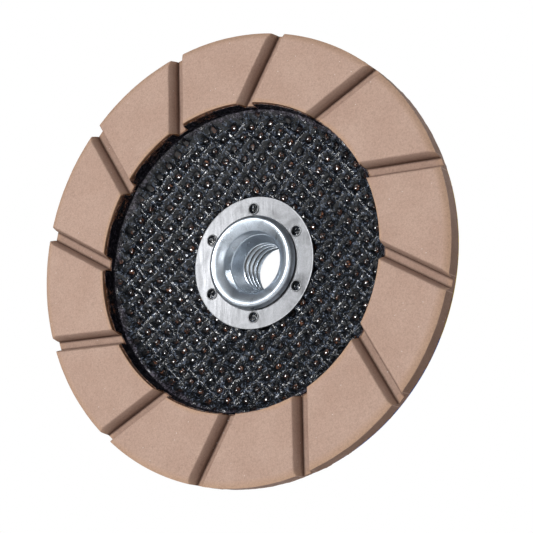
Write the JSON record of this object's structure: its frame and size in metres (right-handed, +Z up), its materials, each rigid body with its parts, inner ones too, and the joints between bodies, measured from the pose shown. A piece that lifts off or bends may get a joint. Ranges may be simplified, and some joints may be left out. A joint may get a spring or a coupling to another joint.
{
  "type": "ceramic edge grinding wheel",
  "caption": "Rigid grinding wheel: a grooved ceramic ring on a dished glass-cloth backing, clamped to a threaded steel hub with a hexagon and flange.",
  "frame": {"origin": "on the spin axis at the hub's back end, where the grinder's spindle enters", "axes": "+Y along the spin axis from the working face to the hub, so the working face looks along -Y; +Z up with two of the hub's wrench flats level"},
  "size_m": [0.125, 0.0275, 0.125],
  "materials": {
    "ceramic": "dry, fine-grained, matte",
    "bond_resin": "rough cured resin",
    "front_cloth": "glass cloth soaked in glossy black resin",
    "core_cloth": "glass cloth soaked in resin",
    "rear_cloth": "glass cloth under smooth black resin",
    "label_paper": "printed bands in three plain colours",
    "plate_zinc": "pressed steel, mottled zinc",
    "hub_zinc": "turned steel, bright zinc",
    "washer_steel": "stamped steel, dull zinc"
  },
  "bodies": {
    "root": {"ceramic_ring": "ceramic", "resin_bond_layer": "bond_resin", "front_cloth_ply": "front_cloth", "core_cloth_ply": "core_cloth", "rear_cloth_ply": "rear_cloth", "paper_label": "label_paper", "rear_plate": "plate_zinc", "threaded_hub": "hub_zinc", "front_washer": "washer_steel"}
  },
  "joints": []
}
